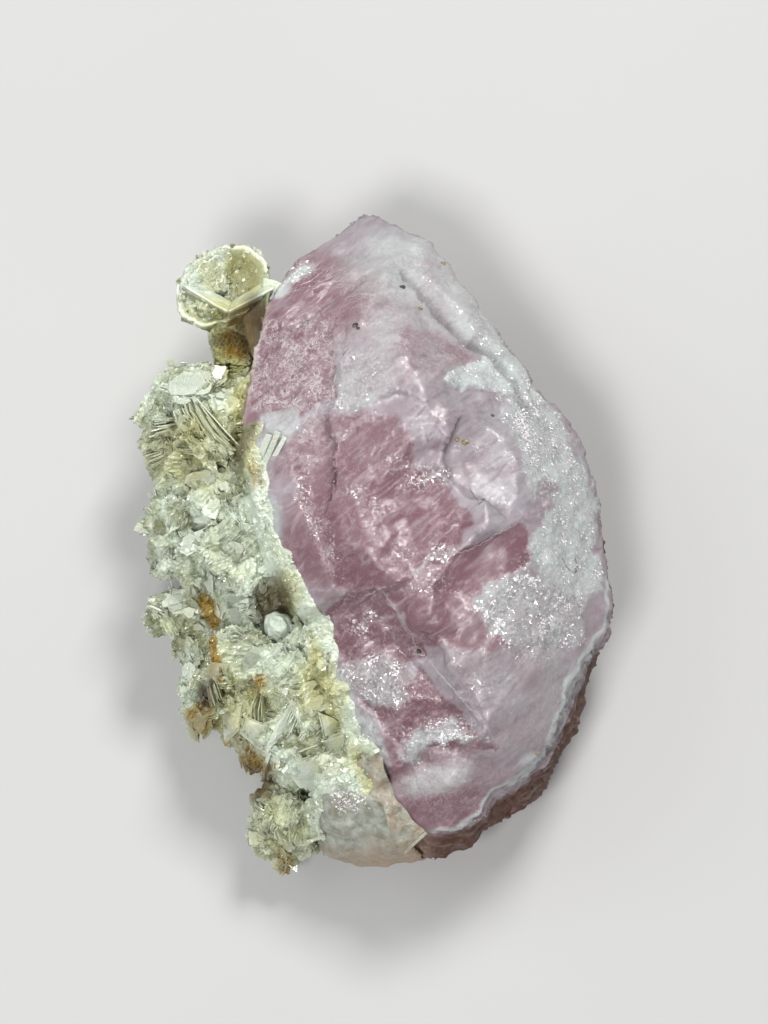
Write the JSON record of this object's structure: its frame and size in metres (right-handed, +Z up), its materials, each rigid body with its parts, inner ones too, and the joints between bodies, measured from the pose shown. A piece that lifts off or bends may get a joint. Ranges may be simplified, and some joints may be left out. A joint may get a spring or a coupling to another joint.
{
  "type": "apatite crystal",
  "caption": "Loose mineral specimen: a thick broken pink apatite crystal grown against flaky muscovite mica, with a small albite block and a quartz grain.",
  "frame": {"origin": "a point of the flat cleavage face that the specimen rests on, under the crystal's left half", "axes": "+Z up out of the crystal's broken face, +Y along the specimen's length towards the crystal's tip, +X towards the side without mica"},
  "size_m": [0.0385, 0.0524, 0.0217],
  "materials": {
    "apatite": "translucent pink apatite, glassy broken faces with frosted and veined parts",
    "muscovite": "silvery green pearly mica books, a little rust in the hollows",
    "albite": "white to cream translucent feldspar, smooth cleavage",
    "quartz": "glassy greyish white grain"
  },
  "bodies": {
    "root": {"apatite_crystal": "apatite", "muscovite_matrix": "muscovite", "muscovite_rosette": "muscovite", "muscovite_tail_book": "muscovite", "albite_block": "albite", "quartz_grain": "quartz"}
  },
  "joints": []
}
